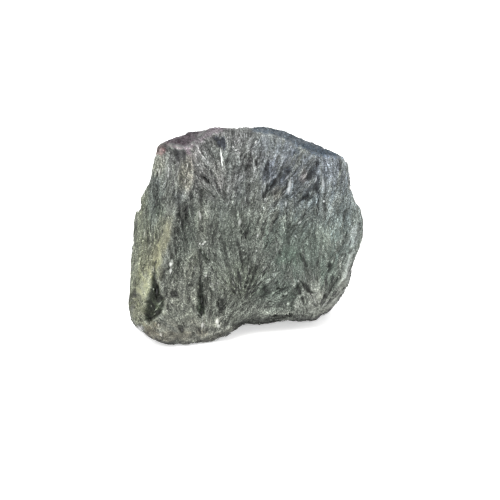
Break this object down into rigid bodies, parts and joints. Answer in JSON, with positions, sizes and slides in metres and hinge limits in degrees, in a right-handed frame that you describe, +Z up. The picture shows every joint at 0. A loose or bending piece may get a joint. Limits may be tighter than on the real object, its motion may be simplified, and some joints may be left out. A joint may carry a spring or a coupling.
{
  "type": "seraphinite specimen",
  "caption": "Rough hand-sized block of feathery grey-green seraphinite that stands on a flat broken base.",
  "frame": {"origin": "on the surface it stands on, under the middle of the stone's bounding box", "axes": "+Z up, +X along the stone's width, to the right as seen from in front of its broad fibrous face, -Y out of that face"},
  "size_m": [0.0716, 0.0434, 0.0616],
  "materials": {
    "seraphinite": "dull fibrous break with pearly flakes"
  },
  "bodies": {
    "root": {"seraphinite_stone": "seraphinite"}
  },
  "joints": []
}
